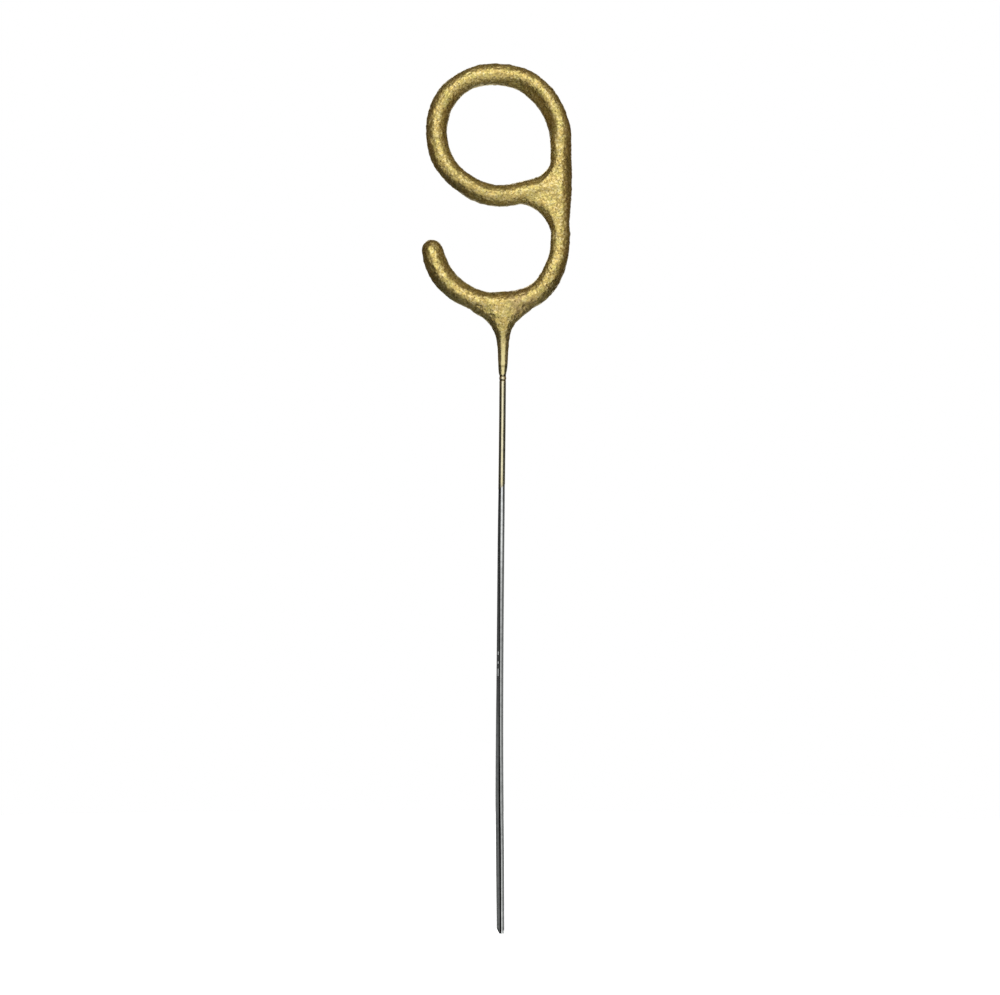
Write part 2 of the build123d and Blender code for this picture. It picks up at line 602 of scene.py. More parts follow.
lumpy = gold_bead.vertex_groups.new(name="lumpy")
for point in gold_bead.data.vertices:
    share = (point.co.z / MM - SMOOTH_BELOW) / (LUMPY_ABOVE - SMOOTH_BELOW)
    lumpy.add([point.index], min(max(share, LEAST_LUMPY), 1.0), "REPLACE")

for name, size, height in LUMPS:
    clouds = bpy.data.textures.new(name, type="CLOUDS")
    clouds.noise_scale = size * MM
    clouds.noise_depth = LUMP_DETAIL
    push = {"strength": height * MM, "mid_level": 0.5}
    add_modifier(gold_bead, "DISPLACE", texture=clouds, vertex_group="lumpy", **push)
print(count(gold_bead), "lumps in mm:", [(name, height) for name, size, height in LUMPS])

# %% [markdown]
# ## The grey core
#
# Under the gold lies the burning composition. Nobody sees it until the lacquer is chipped or burnt, but
# it is a piece of its own: a copy of the bead, remeshed more coarsely and drawn in by twice the thickness
# of the lacquer, so that it stays below the lumps.

# %% The composition core
LACQUER = 0.06
CORE_VOXEL = 0.35

make_active(gold_bead)
bpy.ops.object.duplicate()
composition_core = new_piece("composition_core")
add_modifier(composition_core, "REMESH", mode="VOXEL", voxel_size=CORE_VOXEL * MM, use_smooth_shade=True)
make_active(composition_core)
bpy.ops.object.mode_set(mode="EDIT")
bpy.ops.mesh.select_all(action="SELECT")
bpy.ops.transform.shrink_fatten(value=-2 * LACQUER * MM)
bpy.ops.object.mode_set(mode="OBJECT")
print(count(composition_core))

# %% [markdown]
# ## The wire
#
# The handle was cut from a coil, so it sways a little, and straightening rolls left its lower end a bit
# flat. A list of heights says how far it sways and how wide it is, and a smooth line through that list
# gives the rings. A straight cylinder would be simpler, but would look drawn by a ruler.

# %% Steel handle wire
WIRE_RADIUS = 0.65
WIRE_TOP = 127.9
WIRE_STEP = 1.0
WIRE_POINTS = 24

# Height, sway to the right and half width
WIRE_SHAPE = [
    (0.0, 0.30, 0.79),
    (17.0, 0.10, 0.84),
    (28.0, -0.05, 0.83),
    (40.0, -0.11, 0.77),
    (57.0, -0.09, 0.71),
    (77.0, -0.03, 0.70),
    (86.0, 0.02, 0.69),
    (92.0, 0.06, 0.65),
    (106.0, 0.14, 0.63),
    (114.2, 0.16, 0.63),
]


def wire_at(height):
    """Sway and half width of the wire at a height, on a smooth line through its list."""
    last = len(WIRE_SHAPE) - 2
    i = max(k for k in range(last + 1) if k == 0 or WIRE_SHAPE[k][0] <= height)
    before, start, end, after = (WIRE_SHAPE[min(max(k, 0), last + 1)] for k in range(i - 1, i + 3))
    span = end[0] - start[0]
    t = (height - start[0]) / span
    values = []
    for column in (1, 2):
        slope_in = (end[column] - before[column]) / (end[0] - before[0]) * span
        slope_out = (after[column] - start[column]) / (after[0] - start[0]) * span
        rise = end[column] - start[column]
        bend = t * t * (3 - 2 * t) * rise + t * (1 - t) * ((1 - t) * slope_in - t * slope_out)
        values.append(start[column] + bend)
    return values


def wire_station(height):
    sway, half_width = wire_at(height)
    return (height, sway, half_width, min(half_width, WIRE_RADIUS**2 / half_width))


wire_stations = [wire_station(WIRE_STEP * i) for i in range(int(STEM_FOOT[1] / WIRE_STEP))]
wire_stations.append((WIRE_TOP, stem_middle(WIRE_TOP), WIRE_RADIUS, WIRE_RADIUS))
steel_handle = raise_tube("steel_handle", wire_stations, WIRE_POINTS)
close_tube(steel_handle)
print(count(steel_handle))
print("sway in mm every 20 mm:", [round(wire_at(h)[0], 2) for h in range(0, 115, 20)])

# %% [markdown]
# ## The pinch cut
#
# The jaws of a cutter squeezed the wire until it parted, so its end is a slanted, rounded wedge.
# Bisecting planes slice it off one after another, as a knife rounds the end of a stick, and each slice
# is filled. A bevel could round one sharp cut, but it gives less say over the outline.

# %% Pinch cut at the tip
MERGE_WITHIN = 0.001

# Each cut: a point on it, to the right and up from the middle of the tip, and the way it faces
CUTS = [
    ((-0.75, 1.50), (-0.78, -0.10)),
    ((-0.66, 0.98), (-0.38, -0.12)),
    ((-0.51, 0.60), (-0.37, -0.21)),
    ((-0.28, 0.31), (-0.22, -0.20)),
    ((0.06, 0.08), (-0.17, -0.31)),
    ((0.36, 0.04), (0.08, -0.16)),
    ((0.50, 0.17), (0.14, -0.11)),
    ((0.60, 0.36), (0.24, -0.09)),
]

tip = in_plane(WIRE_SHAPE[0][1], 0)
make_active(steel_handle)
bpy.ops.object.mode_set(mode="EDIT")
for (right, up), (face_x, face_z) in CUTS:
    bpy.ops.mesh.select_all(action="SELECT")
    cut_at = tip + in_plane(right, up)
    bpy.ops.mesh.bisect(plane_co=cut_at, plane_no=(face_x, 0, face_z), use_fill=True, clear_outer=True)
bpy.ops.mesh.select_all(action="SELECT")
bpy.ops.mesh.remove_doubles(threshold=MERGE_WITHIN * MM)
bpy.ops.mesh.normals_make_consistent(inside=False)
bpy.ops.object.mode_set(mode="OBJECT")
print(count(steel_handle))
print("lowest point in mm:", round(min(v.co.z for v in steel_handle.data.vertices) / MM, 3))

# %% [markdown]
# ## Nicks
#
# Pliers left three small flats on the wire. A block, turned a little, cuts each with a Boolean modifier,
# because the wire has too few points to push such a crisp edge in by hand.

# %% Nicks from the pliers
NICK_RIGHT = -0.24
NICK_FRONT = 0.50
NICK_TURN = radians(12)
JAW = 1.0
SMOOTH_ANGLE = radians(35)

# Height of the middle of each nick and its length
NICKS = [(57.3, 0.7), (55.4, 0.5), (53.4, 1.5)]

jaws = []
for height, length in NICKS:
    clear_selection()
    jaw_at = in_plane(NICK_RIGHT - JAW / 2, height)
    jaw_at.y = -(NICK_FRONT + JAW / 2) * MM
    bpy.ops.mesh.primitive_cube_add(size=1, location=jaw_at)
    jaw = new_piece("jaw")
    jaw.scale = Vector((JAW, JAW, length)) * MM
    jaw.rotation_euler.z = NICK_TURN
    apply_place(jaw)
    jaws.append(jaw)
jaw = join_pieces(jaws, "jaw")
add_modifier(steel_handle, "BOOLEAN", operation="DIFFERENCE", object=jaw, solver="EXACT")
bpy.data.objects.remove(jaw)
make_active(steel_handle)
bpy.ops.object.shade_smooth_by_angle(angle=SMOOTH_ANGLE)
print(count(steel_handle), "after", len(NICKS), "nicks")

# %% [markdown]
# ## Lacquer on the wire
#
# The gold dip reached down the bare wire to a slanted edge, and dried in a small collar under the drip.
# The film is an open tube, cut by a slanted plane and thickened inwards by Solidify. Colouring the wire
# would be easier, but the film is a piece of its own, with its own edge.

# %% Lacquer on the wire
SLEEVE_RADIUS = 0.67
SLEEVE_FOOT = 90.4
SLEEVE_STEP = 0.8
SLEEVE_RINGS = 28
SLEEVE_FILM = 0.02
DIP_SLANT = Vector((0.85, 0.1, -1.0))
DIP_AT = in_plane(0, 91.3)

# Height and radius of the little collar where the drip dried on the wire
COLLAR = [
    (112.90, 0.675),
    (113.10, 0.620),
    (113.22, 0.640),
    (113.40, 0.720),
    (113.70, 0.720),
    (113.92, 0.640),
    (114.05, 0.640),
    (114.60, 0.700),
]

plain_rings = [(SLEEVE_FOOT + SLEEVE_STEP * i, SLEEVE_RADIUS) for i in range(SLEEVE_RINGS)]
sleeve_stations = [(h, wire_at(h)[0], r, r) for h, r in plain_rings + COLLAR]
gold_sleeve = raise_tube("gold_sleeve", sleeve_stations, WIRE_POINTS)
bpy.ops.mesh.select_all(action="SELECT")
bpy.ops.mesh.bisect(plane_co=DIP_AT, plane_no=DIP_SLANT, clear_outer=True)
bpy.ops.mesh.select_all(action="SELECT")
bpy.ops.mesh.normals_make_consistent(inside=False)
bpy.ops.object.mode_set(mode="OBJECT")
add_modifier(gold_sleeve, "SOLIDIFY", thickness=SLEEVE_FILM * MM, offset=-1)
print(count(gold_sleeve))

# %% [markdown]
# ## Building materials from nodes
#
# A procedural material is a small machine of nodes. These helpers keep its wiring short: `node` adds a
# node, `wire` joins an output to an input, and `ramp` turns a grey value into colours. All patterns read
# Object coordinates, which are metres here, so `PER_MM` turns millimetres into a texture scale.

# %% Helpers for node materials
PER_MM = 1 / MM


class Paint:
    """One procedural material and the few moves needed to wire its nodes."""

    def __init__(self, name):
        self.material = bpy.data.materials.new(name)
        self.material.use_nodes = True
        self.tree = self.material.node_tree
        self.shader = self.tree.nodes["Principled BSDF"]
        self.place = self.tree.nodes.new("ShaderNodeTexCoord")

    def node(self, kind, **numbers):
        made = self.tree.nodes.new("ShaderNode" + kind)
        for name, value in numbers.items():
            made.inputs[name].default_value = value
        return made

    def wire(self, output, into):
        self.tree.links.new(output, into)

    def put(self, value, into):
        """Set an input to a plain number or colour, or wire an output to it."""
        if isinstance(value, tuple):
            into.default_value = (*value, 1)
        elif isinstance(value, (int, float)):
            into.default_value = value
        else:
            self.wire(value, into)

    def noise(self, size, detail=2, stretch=(1, 1, 1)):
        """Cloudy noise with lumps of a size in millimetres, drawn out along an axis by a small stretch."""
        squeeze = self.node("Mapping", Scale=stretch)
        self.wire(self.place.outputs["Object"], squeeze.inputs["Vector"])
        made = self.node("TexNoise", Scale=PER_MM / size, Detail=detail)
        self.wire(squeeze.outputs["Vector"], made.inputs["Vector"])
        return made.outputs["Fac"]

    def cells(self, size, output="Distance"):
        """Grains of a size in millimetres: their distance from the middle, or a colour for each."""
        made = self.node("TexVoronoi", Scale=PER_MM / size)
        self.wire(self.place.outputs["Object"], made.inputs["Vector"])
        return made.outputs[output]

    def ramp(self, value, *stops):
        """Colours, or grey numbers, at places along a value."""
        made = self.tree.nodes.new("ShaderNodeValToRGB")
        band = made.color_ramp.elements
        while len(band) < len(stops):
            band.new(1.0)
        for element, (at, colour) in zip(band, stops):
            element.position = at
            element.color = (*colour, 1) if isinstance(colour, tuple) else (colour, colour, colour, 1)
        self.wire(value, made.inputs["Fac"])
        return made.outputs["Color"]

    def span(self, value, low, high, start, end):
        """Map a number from low..high to start..end, and hold it there."""
        made = self.node("MapRange", Value=0)
        for name, number in zip(("From Min", "From Max", "To Min", "To Max"), (low, high, start, end)):
            made.inputs[name].default_value = number
        self.wire(value, made.inputs["Value"])
        return made.outputs["Result"]

    def math(self, operation, first, second):
        """Arithmetic on two numbers, each a socket or a plain number."""
        made = self.tree.nodes.new("ShaderNodeMath")
        made.operation = operation
        for socket, value in zip(made.inputs, (first, second)):
            self.put(value, socket)
        return made.outputs["Value"]

    def mix(self, factor, first, second, blend="MIX"):
        """Blend two colours, each a socket or a plain colour, by a factor."""
        made = self.tree.nodes.new("ShaderNodeMix")
        made.data_type = "RGBA"
        made.blend_type = blend
        for name, value in (("Factor_Float", factor), ("A_Color", first), ("B_Color", second)):
            self.put(value, next(s for s in made.inputs if s.identifier == name))
        return next(s for s in made.outputs if s.identifier == "Result_Color")

    def axis(self, name):
        """The place along an axis of the object, in millimetres."""
        split = self.node("SeparateXYZ")
        self.wire(self.place.outputs["Object"], split.inputs["Vector"])
        return self.math("MULTIPLY", split.outputs[name], PER_MM)

    def near(self, x, z, reach):
        """1 round a place on the front, falling to 0 at a distance, all in millimetres."""
        away = self.tree.nodes.new("ShaderNodeVectorMath")
        away.operation = "DISTANCE"
        self.wire(self.place.outputs["Object"], away.inputs[0])
        away.inputs[1].default_value = in_plane(x, z)
        return self.span(away.outputs["Value"], reach * 0.5 * MM, reach * MM, 1, 0)

    def bump(self, value, depth, strength=1.0):
        """Roughen the surface by a value, to a depth in millimetres."""
        made = self.node("Bump", Strength=strength, Distance=depth * MM)
        self.wire(value, made.inputs["Height"])
        self.wire(made.outputs["Normal"], self.shader.inputs["Normal"])

    def surface(self, colour, roughness, metallic):
        """Give the shader its colour and roughness, and say how much of a metal it is."""
        self.put(colour, self.shader.inputs["Base Color"])
        self.put(roughness, self.shader.inputs["Roughness"])
        self.put(metallic, self.shader.inputs["Metallic"])

    def show(self, output):
        """Show another shader instead of the first one."""
        self.wire(output, self.tree.nodes["Material Output"].inputs["Surface"])
        self.tree.nodes.remove(self.shader)


print("material helpers ready, one texture turn per mm:", PER_MM)

# %% [markdown]
# ## Gold on the bead
#
# The lacquer is full of gold-coloured metal flakes and lies over rough filings. So it reflects like metal
# but in grains: each flake catches the light a little differently. Small cells give the flakes their
# brightness, soft noise shifts the tone between tan and yellow gold, and a few deep cells are pinholes
# where the brown coat below shows.

# %% Grainy gold
FLAKE_SIZE = 0.30
PINHOLE_SIZE = 0.62
LIT_FLAKE = (0.79, 0.705, 0.415)
PINHOLE_BROWN = (0.11, 0.06, 0.02)

gold = Paint("grainy_gold")
flakes = gold.cells(FLAKE_SIZE, "Color")
tone = gold.ramp(
    gold.noise(1.8),
    (0.34, (0.58, 0.43, 0.137)),
    (0.50, (0.595, 0.463, 0.15)),
    (0.66, (0.58, 0.482, 0.15)),
)
flake_tone = gold.ramp(flakes, (0.10, 0.56), (0.50, 0.94), (0.85, 1.0))
dark_flakes = gold.mix(0.85, tone, flake_tone, "MULTIPLY")
lit_flakes = gold.mix(gold.span(flakes, 0.62, 0.80, 0, 0.45), dark_flakes, LIT_FLAKE)
pinholes = gold.ramp(gold.cells(PINHOLE_SIZE), (0.16, 1.0), (0.33, 0.0))
pinhole_share = gold.ramp(gold.noise(1.7), (0.45, 0.0), (0.55, 0.8))
pinhole_mask = gold.math("MULTIPLY", pinholes, pinhole_share)
holed_gold = gold.mix(pinhole_mask, lit_flakes, PINHOLE_BROWN)
print("flakes and pinholes:", len(gold.tree.nodes), "nodes")

# %% [markdown]
# ## Thin coat, painted shade and smooth drip
#
# To the right of the stem the coat is thin, and the brown paste shows in coarse specks; the same darker
# specks also stand in as painted shade where the stem meets the tail. The drip ran smooth and pale, with a
# dark mark across it, so height fades the grain out there. At the foot of the loop the gold is darkened as
# painted shade. The film on the wire is smoother still, with two dark rings at its collar. Soft masks by
# distance or height choose between these looks, which is surer than painting by hand.

# %% Thin coat, painted shade, smooth drip and the gold's grain
DRIP_FADE = (117.5, 123.5)
DRIP_GOLD = (0.78, 0.68, 0.34)
DRIP_MARK = 116.0
MARK_BROWN = (0.24, 0.18, 0.06)
# Brown of the painted shade on the foot of the loop
FOOT_SHADE_BROWN = (0.30, 0.23, 0.08)
FILING_SIZE = 0.40

# Places by X, Z and reach
THIN_COAT_AND_SHADE_PLACE = (3.8, 129.4, 4.6)
FOOT_SHADE_PLACE = (-5.0, 153.0, 9.0)

patches = gold.span(gold.noise(0.9), 0.36, 0.56, 0, 0.75)
# Partly real, partly painted shade: paste shows through the thin coat in brown specks, and the darker
# patch also stands in for the shade where the stem meets the tail.
thin_coat_and_shade = gold.math("MULTIPLY", gold.near(*THIN_COAT_AND_SHADE_PLACE), patches)
specks = gold.cells(0.5, "Color")
paste_specks_and_shade = gold.ramp(specks, (0.25, (0.25, 0.16, 0.065)), (0.75, (0.56, 0.41, 0.20)))
on_drip = gold.span(gold.axis("Z"), *DRIP_FADE, 1, 0)
# Painted shade: the colour at the foot of the loop is darkened, to dim its highlight there.
painted_foot_shade = gold.math("MULTIPLY", gold.near(*FOOT_SHADE_PLACE), 0.32)
foot_shaded_gold = gold.mix(painted_foot_shade, holed_gold, FOOT_SHADE_BROWN)
specked_and_shaded_gold = gold.mix(thin_coat_and_shade, foot_shaded_gold, paste_specks_and_shade)
from_mark = gold.math("ABSOLUTE", gold.math("SUBTRACT", gold.axis("Z"), DRIP_MARK), 0)
drip_tone = gold.mix(gold.span(from_mark, 0.10, 0.34, 0.6, 0), DRIP_GOLD, MARK_BROWN)
flake_gloss = gold.span(flakes, 0, 1, 0.34, 0.44)
gold_gloss = gold.math("SUBTRACT", flake_gloss, gold.math("MULTIPLY", on_drip, 0.20))
gold.surface(gold.mix(on_drip, specked_and_shaded_gold, drip_tone), gold_gloss, 0.92)
filings = gold.math("ADD", gold.noise(FILING_SIZE, detail=1), gold.math("MULTIPLY", gold.cells(0.36), 0.4))
gold.bump(gold.math("MULTIPLY", filings, gold.span(on_drip, 0, 1, 1, 0.1)), 0.06)
gold_bead.data.materials.append(gold.material)
print(gold.material.name, "has", len(gold.tree.nodes), "nodes")

# %% Gold film on the wire
COLLAR_RINGS = (113.12, 114.00)
RING_BROWN = (0.12, 0.085, 0.02)
DIP_FADE = (90.6, 92.6)
BARE_TONE = (0.46, 0.42, 0.34)

film = Paint("gold_film")
film_tone = film.ramp(
    film.noise(1.6, detail=3, stretch=(1, 1, 0.3)),
    (0.35, (0.82, 0.74, 0.46)),
    (0.65, (0.93, 0.87, 0.62)),
)
above_dip = film.span(film.axis("Z"), *DIP_FADE, 0, 1)
film_cover = film.math("ADD", above_dip, film.span(film.noise(0.8), 0.3, 0.7, -0.4, 0.4))
film_colour = film.mix(film_cover, BARE_TONE, film_tone)
for ring in COLLAR_RINGS:
    away = film.math("ABSOLUTE", film.math("SUBTRACT", film.axis("Z"), ring), 0)
    film_colour = film.mix(film.span(away, 0.10, 0.24, 0.9, 0), film_colour, RING_BROWN)
film.surface(film_colour, film.span(film.noise(0.5), 0.3, 0.7, 0.08, 0.15), 0.95)
film.bump(film.noise(0.9, detail=1), 0.012, 0.5)
gold_sleeve.data.materials.append(film.material)
gold_coat = join_pieces([gold_bead, gold_sleeve], "gold_coat")
print(count(gold_coat), [m.name for m in gold_coat.data.materials])

# %% [markdown]
# ## Drawn steel
#
# Drawn wire shows the die that it was pulled through: fine streaks along its length, here noise that is
# squeezed along Z, and short breaks where the surface is a little rougher. An image of brushed metal
# would repeat along so long a wire.

# %% Drawn steel
steel = Paint("drawn_steel")
streaks = steel.noise(0.16, stretch=(1, 1, 0.02))
breaks = steel.noise(0.7)
bright_steel = steel.ramp(streaks, (0.30, (0.68, 0.71, 0.695)), (0.70, (0.84, 0.86, 0.85)))
dulled = steel.ramp(breaks, (0.36, 0.80), (0.56, 1.0))
steel_colour = steel.mix(1.0, bright_steel, dulled, "MULTIPLY")
steel.surface(steel_colour, steel.span(breaks, 0.3, 0.7, 0.10, 0.05), 1.0)
steel.bump(streaks, 0.006, 0.5)
steel_handle.data.materials.append(steel.material)
print(steel.material.name, "has", len(steel.tree.nodes), "nodes")

# %% [markdown]
# ## Weld metal and composition
#
# The coat hides the welds and the paste, but each gets a finish of its own kind. Noise has soft borders,
# like the scale on a weld, and cells have sharp ones, like the metal grains in dry composition.

# %% Weld metal and composition
GRIT_SIZE = 0.3

weld = Paint("weld_metal")
weld_scale = weld.noise(0.5, detail=4)
weld_colour = weld.ramp(weld_scale, (0.3, (0.10, 0.10, 0.11)), (0.7, (0.30, 0.29, 0.28)))
weld.surface(weld_colour, weld.span(weld_scale, 0.3, 0.7, 0.45, 0.75), 0.9)
weld.bump(weld_scale, 0.08)

paste = Paint("dry_composition")
grit = paste.cells(GRIT_SIZE, "Color")
paste_colour = paste.ramp(
    grit,
    (0.2, (0.22, 0.21, 0.20)),
    (0.7, (0.40, 0.39, 0.38)),
    (0.95, (0.62, 0.62, 0.62)),
)
paste.surface(paste_colour, paste.span(grit, 0, 1, 0.95, 0.70), 0)
paste.bump(paste.cells(GRIT_SIZE), 0.08)
composition_core.data.materials.append(paste.material)
print(weld.material.name, paste.material.name)

# %% [markdown]
# ## Tying the pieces to the frame
#
# The frame keeps the exact solids for physics. Each dressed piece hides the solid that it stands for and
# rides on the only body, because nothing on a sparkler moves. Each row also lists a finish of the record,
# which nothing here reads.

# %% Ride, replace and dress
DRESSED = [
    (gold_coat, "gold_lacquer", "gold_lacquer"),
    (composition_core, "composition", "composition"),
    (steel_handle, "handle_wire", "steel_wire"),
]
for piece, solid, finish in DRESSED:
    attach(piece, "root")
    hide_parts(solid)

HIDDEN = {"numeral_wire": steel, "handle_weld": weld, "loop_weld": weld}
for solid, paint in HIDDEN.items():
    mesh = bpy.data.objects[solid].data
    mesh.materials.clear()
    mesh.materials.append(paint.material)
print("dressed:", [piece.name for piece, solid, finish in DRESSED], "kept:", sorted(HIDDEN))

# %% [markdown]
# ## The floor
#
# The sparkler stands on a plain pale floor. It glows a little, but only for rays that show it, so that it
# looks as white as the room without lighting the gold from below.

# %% Floor
SEEN_DIRECTLY = ("Is Camera Ray", "Is Glossy Ray", "Is Transmission Ray")
FLOOR_RADIUS = 0.35
FLOOR_POINTS = 96
FLOOR_TONE = (0.8, 0.8, 0.8)
FLOOR_DROP = 0.02
FLOOR_GLOW = 0.72


def seen_directly(tree):
    """1 for rays that show a surface to the camera, straight, mirrored or through glass."""
    path = tree.nodes.new("ShaderNodeLightPath")
    total = path.outputs[SEEN_DIRECTLY[0]]
    for name in SEEN_DIRECTLY[1:]:
        larger = tree.nodes.new("ShaderNodeMath")
        larger.operation = "MAXIMUM"
        tree.links.new(total, larger.inputs[0])
        tree.links.new(path.outputs[name], larger.inputs[1])
        total = larger.outputs["Value"]
    return total


clear_selection()
bpy.ops.mesh.primitive_circle_add(
    vertices=FLOOR_POINTS, radius=FLOOR_RADIUS, fill_type="NGON", location=(0, 0, -FLOOR_DROP * MM)
)
floor = new_piece("floor")
apply_place(floor)
pale = Paint("pale_floor")
matt = pale.node("BsdfDiffuse")
pale.put(FLOOR_TONE, matt.inputs["Color"])
glow = pale.node("Emission")
pale.wire(pale.math("MULTIPLY", seen_directly(pale.tree), FLOOR_GLOW), glow.inputs["Strength"])
both = pale.node("AddShader")
pale.wire(matt.outputs["BSDF"], both.inputs[0])
pale.wire(glow.outputs["Emission"], both.inputs[1])
pale.show(both.outputs["Shader"])
floor.data.materials.append(pale.material)
print("floor radius in m:", FLOOR_RADIUS)

# %% [markdown]
# ## Cards that only reflections see
#
# A thin shiny thing on white is lit by what it mirrors, so a photographer puts soft light near the camera
# and dark cards to the sides: the crest of the bead then shines and its flanks go dark, which draws its
# outline on the white. A card here glows with its own colour, and only reflections see it.

# %% Helpers for cards
def stand_card(name, low, high, is_open):
    """A box between two corners, without the sides whose normal is_open picks."""
    clear_selection()
    bpy.ops.mesh.primitive_cube_add(size=1, location=[(a + b) / 2 for a, b in zip(low, high)])
    card = new_piece(name)
    card.scale = [b - a for a, b in zip(low, high)]
    apply_place(card)
    select_faces(card, is_open)
    bpy.ops.mesh.delete(type="ONLY_FACE")
    bpy.ops.object.mode_set(mode="OBJECT")
    return card


def flat_card(name, width, height, middle, tilt):
    """A rectangle, tilted up by an angle in degrees from lying flat."""
    clear_selection()
    bpy.ops.mesh.primitive_plane_add(size=1, location=middle, rotation=(radians(tilt), 0, 0))
    card = new_piece(name)
    card.scale = (width, height, 1)
    apply_place(card)
    return card


def hang_card(card, paint):
    """Paint a card, and let only reflections see it."""
    card.data.materials.append(paint)
    for rays in ("camera", "diffuse", "shadow", "transmission", "volume_scatter"):
        setattr(card, "visible_" + rays, False)


def card_paint(paint, colour):
    """Turn a material into one that shows a colour without being lit."""
    glow = paint.node("Emission")
    paint.put(colour, glow.inputs["Color"])
    paint.show(glow.outputs["Emission"])
    return paint.material


print("card helpers ready")

# %% [markdown]
# ## The dark card
#
# The largest card is a tunnel round the object, open towards the camera and behind. It is light at its
# front and dark at its sides, so the bead darkens softly towards its flanks. It is warm beside the gold
# and plain grey beside the steel. A low sill across its front keeps the underside of the bead from
# mirroring the white floor.

# %% Dark card round the object
CARD_HALF_WIDTH = 0.115
CARD_FOOT = -0.00001
CARD_TOP = 0.30
CARD_FRONT = -0.145
CARD_BACK = 0.22
PLAIN_GREY = (0.075, 0.076, 0.075)
WARM_ABOVE = (45, 90)
NUMERAL_HEIGHT = 150
LIGHT_RIGHT = 0.8
LIGHT_UP = 0.6
LIGHT_SPAN = 100

card_low = (-CARD_HALF_WIDTH, CARD_FRONT, CARD_FOOT)
card_high = (CARD_HALF_WIDTH, CARD_BACK, CARD_TOP)
card = stand_card("dark_card", card_low, card_high, lambda normal: abs(normal.y) > 0.5)

shade = Paint("card_shade")
depth = shade.span(shade.axis("Y"), CARD_FRONT / MM, CARD_BACK / MM, 0, 1)
dark_side = shade.ramp(
    depth,
    (0.00, (0.38, 0.33, 0.26)),
    (0.12, (0.24, 0.19, 0.135)),
    (0.23, (0.13, 0.092, 0.055)),
    (0.32, (0.085, 0.057, 0.031)),
    (0.56, (0.075, 0.050, 0.027)),
)
light_side = shade.ramp(
    depth,
    (0.00, (0.60, 0.54, 0.45)),
    (0.12, (0.50, 0.43, 0.34)),
    (0.23, (0.34, 0.275, 0.20)),
    (0.32, (0.21, 0.155, 0.10)),
    (0.40, (0.13, 0.090, 0.052)),
    (0.56, (0.088, 0.058, 0.031)),
)
rightward = shade.math("MULTIPLY", shade.axis("X"), LIGHT_RIGHT)
above_middle = shade.math("SUBTRACT", shade.axis("Z"), NUMERAL_HEIGHT)
upward = shade.math("MULTIPLY", above_middle, LIGHT_UP)
towards_light = shade.span(shade.math("ADD", rightward, upward), -LIGHT_SPAN, LIGHT_SPAN, 0, 1)
warm_shade = shade.mix(towards_light, dark_side, light_side)
beside_numeral = shade.span(shade.axis("Z"), *WARM_ABOVE, 0, 1)
hang_card(card, card_paint(shade, shade.mix(beside_numeral, PLAIN_GREY, warm_shade)))
print(count(card))

# %% Sill across the front of the dark card
SILL_TOP = 0.050
SILL_TONE = (0.34, 0.29, 0.22)

sill = flat_card("card_sill", 2 * CARD_HALF_WIDTH, SILL_TOP, (0, CARD_FRONT, SILL_TOP / 2), 90)
hang_card(sill, card_paint(Paint("sill_tone"), SILL_TONE))
print(count(sill))

# %% [markdown]
# ## The board that the wire mirrors
#
# The bare wire shows a black line beside a white one, and the pair wanders to the left as it climbs. One
# board round its front does that: dark on the left, white on the right, with a border that sweeps to the
# left towards its top. Close to the floor the wire mirrors the floor instead, so a card that lies there
# carries the same tones on to the tip.

# %% Board that the wire mirrors
BOARD_HALF_WIDTH = 0.060
BOARD_FRONT = -0.040
BOARD_BACK = 0.120
BOARD_TOP = 0.1145

# Borders of the tones, in millimetres
EDGE_FOOT = 14
EDGE_SWEEP = 0.00351
WHITE_END = 36
LEAST_AHEAD = 2
BLACK_START = (-26, -22)
EDGE_FADE = 0.7
WHITE_FADE = 1

board_low = (-BOARD_HALF_WIDTH, BOARD_FRONT, 0)
board_high = (BOARD_HALF_WIDTH, BOARD_BACK, BOARD_TOP)
board = stand_card(
    "wire_board", board_low, board_high, lambda normal: abs(normal.z) > 0.5 or normal.y > 0.5
)

tones = Paint("board_tones")
height = tones.axis("Z")
up_board = tones.span(height, 0, BOARD_TOP / MM, 0, 1)
sweep = tones.math("MULTIPLY", tones.math("MULTIPLY", height, height), EDGE_SWEEP)
ahead = tones.math("MAXIMUM", tones.math("MULTIPLY", tones.axis("Y"), -1), LEAST_AHEAD)
across = tones.math("DIVIDE", tones.math("MULTIPLY", tones.axis("X"), -BOARD_FRONT / MM), ahead)
from_edge = tones.math("ADD", tones.math("SUBTRACT", across, EDGE_FOOT), sweep)
left_tone = tones.ramp(up_board, (0.0, 0.165), (0.28, 0.17), (0.44, 0.075), (0.74, 0.05), (0.82, 0.010))
right_tone = tones.ramp(up_board, (0.0, 0.26), (0.25, 0.22), (0.50, 0.185), (0.74, 0.13), (0.82, 0.020))
black_tone = tones.ramp(up_board, (0.35, 0.002), (0.46, 0.016))
white_tone = tones.ramp(up_board, (0.0, 0.85), (0.14, 0.56), (0.60, 0.60), (0.70, 1.0))
dark = tones.mix(tones.span(from_edge, *BLACK_START, 0, 1), left_tone, black_tone)
past_white = tones.span(across, WHITE_END - WHITE_FADE, WHITE_END + WHITE_FADE, 0, 1)
lit = tones.mix(past_white, white_tone, right_tone)
board_tone = tones.mix(tones.span(from_edge, -EDGE_FADE, EDGE_FADE, 0, 1), dark, lit)
board_paint = card_paint(tones, board_tone)
hang_card(board, board_paint)
print(count(board))

# %% Card under the tip
TIP_CARD_WIDTH = 0.120
TIP_CARD_DEPTH = 0.100
TIP_CARD_MIDDLE = (0, 0.010, 0.00001)

tip_card = flat_card("tip_card", TIP_CARD_WIDTH, TIP_CARD_DEPTH, TIP_CARD_MIDDLE, 0)
hang_card(tip_card, board_paint)
print(count(tip_card))

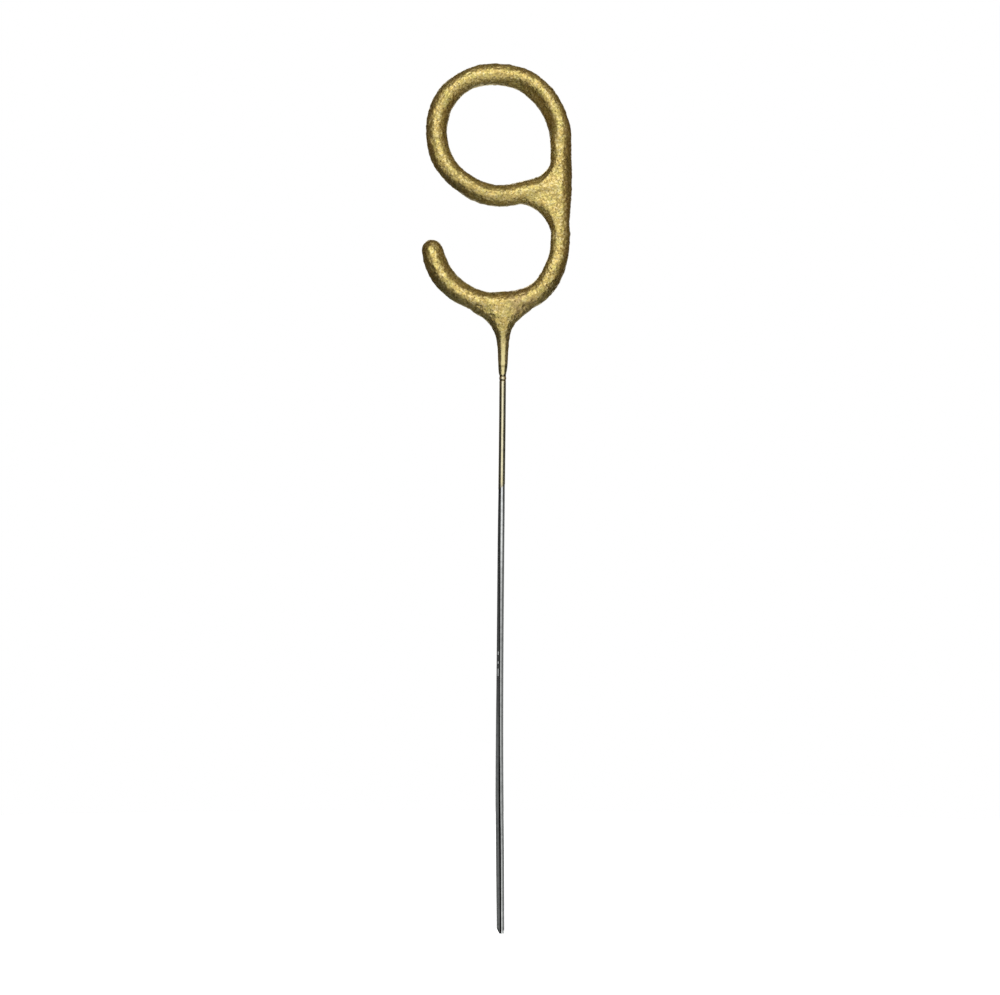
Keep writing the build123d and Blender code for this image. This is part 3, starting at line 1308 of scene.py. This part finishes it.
# %% [markdown]
# ## Soft light and a white room
#
# Three large soft lamps light the coat from the front, from above and from behind. The room is pure
# white where it is seen, straight or mirrored, and dimmer in the light that it sheds, so the background
# stays white and the gold keeps its colour.

# %% Soft light and white room
ROOM_LIGHT = 0.45
NUMERAL_MIDDLE = Vector((0, 0, 0.150))

# Name, size in metres, place and power in watts
LAMPS = [
    ("front_box", 0.45, (0, -1.0, 0.50), 1.9),
    ("top_box", 0.6, (0.2, 0.1, 0.9), 1.5),
    ("back_box", 0.6, (-0.3, 0.9, 0.5), 1.5),
]


def soft_box(name, size, location, power):
    """A square lamp that points at the numeral and that the camera doesn't see."""
    clear_selection()
    bpy.ops.object.light_add(type="AREA", location=location)
    lamp = bpy.context.active_object
    lamp.name = name
    lamp.data.shape = "RECTANGLE"
    lamp.data.size = size
    lamp.data.size_y = size
    lamp.data.energy = power
    lamp.rotation_euler = (NUMERAL_MIDDLE - lamp.location).to_track_quat("-Z", "Y").to_euler()
    lamp.visible_camera = False


for lamp in LAMPS:
    soft_box(*lamp)

scene = bpy.context.scene
scene.view_settings.view_transform = "Standard"
world = bpy.data.worlds.new("white_room")
scene.world = world
world.use_nodes = True
tree = world.node_tree
level = tree.nodes.new("ShaderNodeMapRange")
level.inputs["To Min"].default_value = ROOM_LIGHT
level.inputs["To Max"].default_value = 1.0
tree.links.new(seen_directly(tree), level.inputs["Value"])
background = tree.nodes["Background"]
background.inputs["Color"].default_value = (1, 1, 1, 1)
tree.links.new(level.outputs["Result"], background.inputs["Strength"])

# %% [markdown]
# ## The camera
#
# The photo was taken straight on, from far enough away that nothing shrinks with distance. A long lens
# nearly a metre away gives the same flat view, and a slight roll matches the wire's lean in the frame.

# %% Camera
CAMERA_DISTANCE = 0.9
CAMERA_AT = (-0.27, 89.15)
CAMERA_ROLL = -0.295
IMAGE_WIDTH = 1000
MM_PER_PIXEL = 0.20457
SENSOR = 36

clear_selection()
view_from = in_plane(*CAMERA_AT)
view_from.y = -CAMERA_DISTANCE
bpy.ops.object.camera_add(location=view_from, rotation=(radians(90), radians(CAMERA_ROLL), 0))
camera = bpy.context.active_object
camera.name = "photo_camera"
camera.data.sensor_width = SENSOR
camera.data.lens = SENSOR * CAMERA_DISTANCE / (IMAGE_WIDTH * MM_PER_PIXEL * MM)
scene.camera = camera
print("lens in mm:", round(camera.data.lens, 1))
